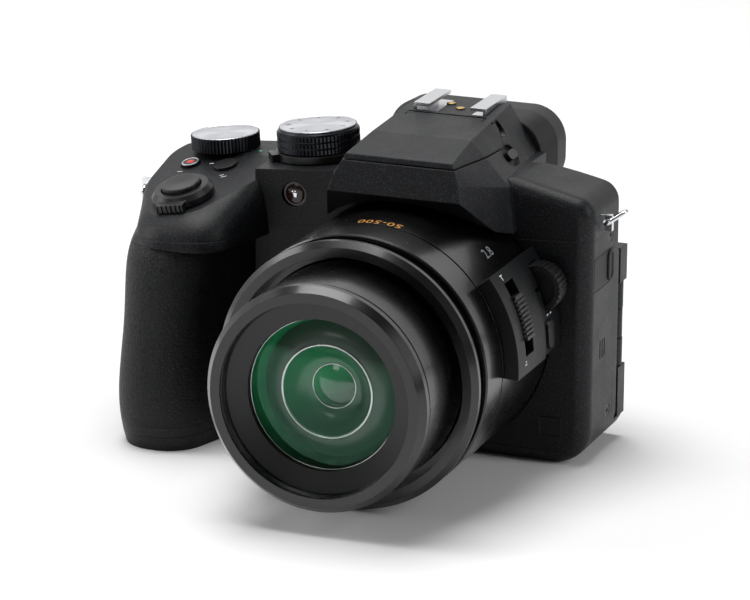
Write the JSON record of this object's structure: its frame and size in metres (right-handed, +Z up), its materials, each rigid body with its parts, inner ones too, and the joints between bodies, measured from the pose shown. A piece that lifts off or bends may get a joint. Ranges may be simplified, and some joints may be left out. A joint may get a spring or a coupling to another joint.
{
  "type": "bridge camera",
  "caption": "Fixed-lens bridge camera with a collared zoom barrel, hand grip, pop-up flash, dials, accessory shoe, eyecup and fold-out screen.",
  "frame": {"origin": "mouth of the tripod socket in the base, under the lens axis", "axes": "+Z up, the lens looks along -Y, +X towards the screen's hinge, the grip on -X"},
  "size_m": [0.1426, 0.1241, 0.0915],
  "materials": {
    "shell": "moulded black shell with a fine mottled grain",
    "grip_skin": "black rubber with a fine leather grain",
    "soft_rubber": "plain soft rubber",
    "barrel": "satin black enamel",
    "bezel": "semi-gloss black",
    "coated_glass": "coated optical glass",
    "dial_metal": "black anodised aluminium, spun top",
    "control_black": "semi-gloss black",
    "screw_black": "blackened steel",
    "steel": "pressed steel",
    "chrome": "polished",
    "inner_metal": "plain",
    "inner_black": "plain",
    "board": "lacquered circuit board",
    "lamp_window": "smoked red-brown window",
    "flash_window": "ribbed clear window",
    "screen_shell": "fine-grained black",
    "screen_glass": "dark cover glass over the display"
  },
  "bodies": {
    "camera_body": {"front_cover": "shell", "rear_cover": "shell", "top_cover": "shell", "base_cover": "shell", "grip_rubber": "grip_skin", "tripod_bush": "steel", "screws": "screw_black", "strap_lugs": "chrome", "focus_lamp": "lamp_window", "sockets": "inner_black", "chassis": "inner_metal", "sensor_unit": "inner_black", "main_board": "board", "zoom_motor": "steel", "battery": "inner_black", "memory_card": "inner_black", "lens_cowl": "barrel", "side_pod": "control_black", "hot_shoe": "steel", "shoe_contacts": "inner_black", "finder_unit": "inner_black", "eyepiece": "coated_glass", "eyecup": "soft_rubber"},
    "middle_barrel": {"middle_barrel": "barrel", "middle_lens_group": "coated_glass"},
    "cam_ring": {"cam_ring": "inner_metal"},
    "front_barrel": {"front_barrel": "barrel", "front_bezel": "bezel", "front_lens": "coated_glass"},
    "flash": {"flash_housing": "shell", "flash_lamp": "flash_window"},
    "screen": {"screen_hinge": "screen_shell", "screen_case": "screen_shell", "screen_glass": "screen_glass"},
    "zoom_ring": {"zoom_ring": "control_black"},
    "shutter_button": {"shutter_button": "control_black"},
    "record_button": {"record_button": "control_black"},
    "function_button": {"function_button": "control_black"},
    "rear_dial": {"rear_dial": "dial_metal"},
    "mode_dial": {"mode_dial": "dial_metal"},
    "power_ring": {"power_ring": "control_black"},
    "flash_switch": {"flash_switch": "control_black"},
    "side_lever": {"side_lever": "control_black"},
    "side_wheel": {"side_wheel": "control_black"},
    "focus_button": {"focus_button": "control_black"},
    "mic_cover": {"mic_cover": "soft_rubber"},
    "terminal_door": {"terminal_door": "shell"},
    "battery_door": {"battery_door": "shell"},
    "battery_latch": {"battery_latch": "control_black"},
    "diopter_dial": {"diopter_dial": "control_black"},
    "cursor_pad": {"cursor_pad": "control_black"},
    "set_button": {"set_button": "control_black"},
    "playback_button": {"playback_button": "control_black"},
    "menu_button": {"menu_button": "control_black"},
    "display_button": {"display_button": "control_black"},
    "finder_button": {"finder_button": "control_black"},
    "lock_button": {"lock_button": "control_black"},
    "focus_mode_lever": {"focus_mode_lever": "control_black"},
    "strap_ring_hinge_side": {"strap_ring_hinge_side": "chrome"},
    "strap_ring_grip_side": {"strap_ring_grip_side": "chrome"}
  },
  "joints": [
    {"name": "middle_barrel_slide", "type": "slide", "parent": "camera_body", "child": "middle_barrel", "axis": [0, -1, 0], "range_m": [-0.004, 0.024]},
    {"name": "cam_ring_turn", "type": "hinge", "parent": "middle_barrel", "child": "cam_ring", "pos_m": [0, -0.038, 0.0365], "axis": [0, -1, 0], "range_deg": [-16, 92]},
    {"name": "front_barrel_slide", "type": "slide", "parent": "middle_barrel", "child": "front_barrel", "axis": [0, -1, 0], "range_m": [-0.003, 0.018]},
    {"name": "zoom_ring_turn", "type": "hinge", "parent": "camera_body", "child": "zoom_ring", "pos_m": [-0.0663, -0.0188, 0.06582], "axis": [-0.1544, -0.2123, 0.9649], "range_deg": [-25, 25], "stiffness_Nm_per_rad": 0.02},
    {"name": "shutter_press", "type": "slide", "parent": "camera_body", "child": "shutter_button", "axis": [0.1544, 0.2123, -0.9649], "range_m": [0, 0.0008], "stiffness_N_per_m": 400, "springref_m": -0.0005},
    {"name": "record_press", "type": "slide", "parent": "camera_body", "child": "record_button", "axis": [0.1544, 0.2123, -0.9649], "range_m": [0, 0.0005], "stiffness_N_per_m": 400, "springref_m": -0.0005},
    {"name": "function_press", "type": "slide", "parent": "camera_body", "child": "function_button", "axis": [0.1544, 0.2123, -0.9649], "range_m": [0, 0.0005], "stiffness_N_per_m": 400, "springref_m": -0.0005},
    {"name": "rear_dial_turn", "type": "hinge", "parent": "camera_body", "child": "rear_dial", "pos_m": [-0.0673, 0.0126, 0.07211], "axis": [-0.0748, 0, 0.9972], "continuous": true},
    {"name": "mode_dial_turn", "type": "hinge", "parent": "camera_body", "child": "mode_dial", "pos_m": [-0.0367, 0.0063, 0.0744], "axis": [-0.0748, 0, 0.9972], "continuous": true},
    {"name": "power_ring_turn", "type": "hinge", "parent": "camera_body", "child": "power_ring", "pos_m": [-0.0367, 0.0063, 0.0744], "axis": [-0.0748, 0, 0.9972], "range_deg": [-35, 0]},
    {"name": "flash_tilt", "type": "hinge", "parent": "camera_body", "child": "flash", "pos_m": [0, 0.0064, 0.0873], "axis": [-1, 0, 0], "range_deg": [0, 60]},
    {"name": "flash_switch_slide", "type": "slide", "parent": "camera_body", "child": "flash_switch", "axis": [0, 1, 0], "range_m": [0, 0.0014], "stiffness_N_per_m": 200, "springref_m": -0.0005},
    {"name": "side_lever_turn", "type": "hinge", "parent": "camera_body", "child": "side_lever", "pos_m": [0, -0.0365, 0.0365], "axis": [0, -1, 0], "range_deg": [-4, 4], "stiffness_Nm_per_rad": 0.03},
    {"name": "side_wheel_turn", "type": "hinge", "parent": "camera_body", "child": "side_wheel", "pos_m": [0.0356, -0.016, 0.0516], "axis": [0, -1, 0], "continuous": true},
    {"name": "focus_press", "type": "slide", "parent": "camera_body", "child": "focus_button", "axis": [-0.9968, 0, -0.0802], "range_m": [0, 0.0005], "stiffness_N_per_m": 400, "springref_m": -0.0005},
    {"name": "screen_swing", "type": "hinge", "parent": "camera_body", "child": "screen", "pos_m": [0.0444, 0.01865, 0.033], "axis": [0, 0, -1], "range_deg": [0, 180]},
    {"name": "mic_cover_swing", "type": "hinge", "parent": "camera_body", "child": "mic_cover", "pos_m": [0.0473, -0.0065, 0.0528], "axis": [0, 0, -1], "range_deg": [0, 100]},
    {"name": "terminal_door_swing", "type": "hinge", "parent": "camera_body", "child": "terminal_door", "pos_m": [-0.0843, 0.0036, 0.028], "axis": [0, 0, -1], "range_deg": [0, 100]},
    {"name": "battery_door_swing", "type": "hinge", "parent": "camera_body", "child": "battery_door", "pos_m": [-0.066, 0.0098, 0.0003], "axis": [1, 0, 0], "range_deg": [0, 85]},
    {"name": "battery_latch_slide", "type": "slide", "parent": "battery_door", "child": "battery_latch", "axis": [0, 1, 0], "range_m": [0, 0.002], "stiffness_N_per_m": 150, "springref_m": -0.0005},
    {"name": "diopter_turn", "type": "hinge", "parent": "camera_body", "child": "diopter_dial", "pos_m": [0.0343, 0.0132, 0.0664], "axis": [0, 1, 0], "range_deg": [-150, 150]},
    {"name": "cursor_press", "type": "slide", "parent": "camera_body", "child": "cursor_pad", "axis": [0, -1, 0], "range_m": [0, 0.0005], "stiffness_N_per_m": 400, "springref_m": -0.0005},
    {"name": "set_press", "type": "slide", "parent": "camera_body", "child": "set_button", "axis": [0, -1, 0], "range_m": [0, 0.0005], "stiffness_N_per_m": 400, "springref_m": -0.0005},
    {"name": "playback_press", "type": "slide", "parent": "camera_body", "child": "playback_button", "axis": [0, -1, 0], "range_m": [0, 0.0005], "stiffness_N_per_m": 400, "springref_m": -0.0005},
    {"name": "menu_press", "type": "slide", "parent": "camera_body", "child": "menu_button", "axis": [0, -1, 0], "range_m": [0, 0.0005], "stiffness_N_per_m": 400, "springref_m": -0.0005},
    {"name": "display_press", "type": "slide", "parent": "camera_body", "child": "display_button", "axis": [0, -1, 0], "range_m": [0, 0.0005], "stiffness_N_per_m": 400, "springref_m": -0.0005},
    {"name": "finder_press", "type": "slide", "parent": "camera_body", "child": "finder_button", "axis": [0, -1, 0], "range_m": [0, 0.0005], "stiffness_N_per_m": 400, "springref_m": -0.0005},
    {"name": "lock_press", "type": "slide", "parent": "camera_body", "child": "lock_button", "axis": [0, -1, 0], "range_m": [0, 0.0005], "stiffness_N_per_m": 400, "springref_m": -0.0005},
    {"name": "focus_mode_turn", "type": "hinge", "parent": "camera_body", "child": "focus_mode_lever", "pos_m": [-0.0385, 0.022, 0.0485], "axis": [0, 1, 0], "range_deg": [-30, 30]},
    {"name": "strap_ring_hinge_side_swing", "type": "hinge", "parent": "camera_body", "child": "strap_ring_hinge_side", "pos_m": [0.0493, -0.002, 0.067], "axis": [0, 1, 0], "range_deg": [-39, 125]},
    {"name": "strap_ring_grip_side_swing", "type": "hinge", "parent": "camera_body", "child": "strap_ring_grip_side", "pos_m": [-0.0863, 0.0016, 0.062], "axis": [0, 1, 0], "range_deg": [-5, 150]}
  ],
  "couplings": [
    {"joint": "front_barrel_slide", "follows": "middle_barrel_slide", "ratio": 0.75},
    {"joint": "cam_ring_turn", "follows": "middle_barrel_slide", "rad_per_m": 65}
  ]
}
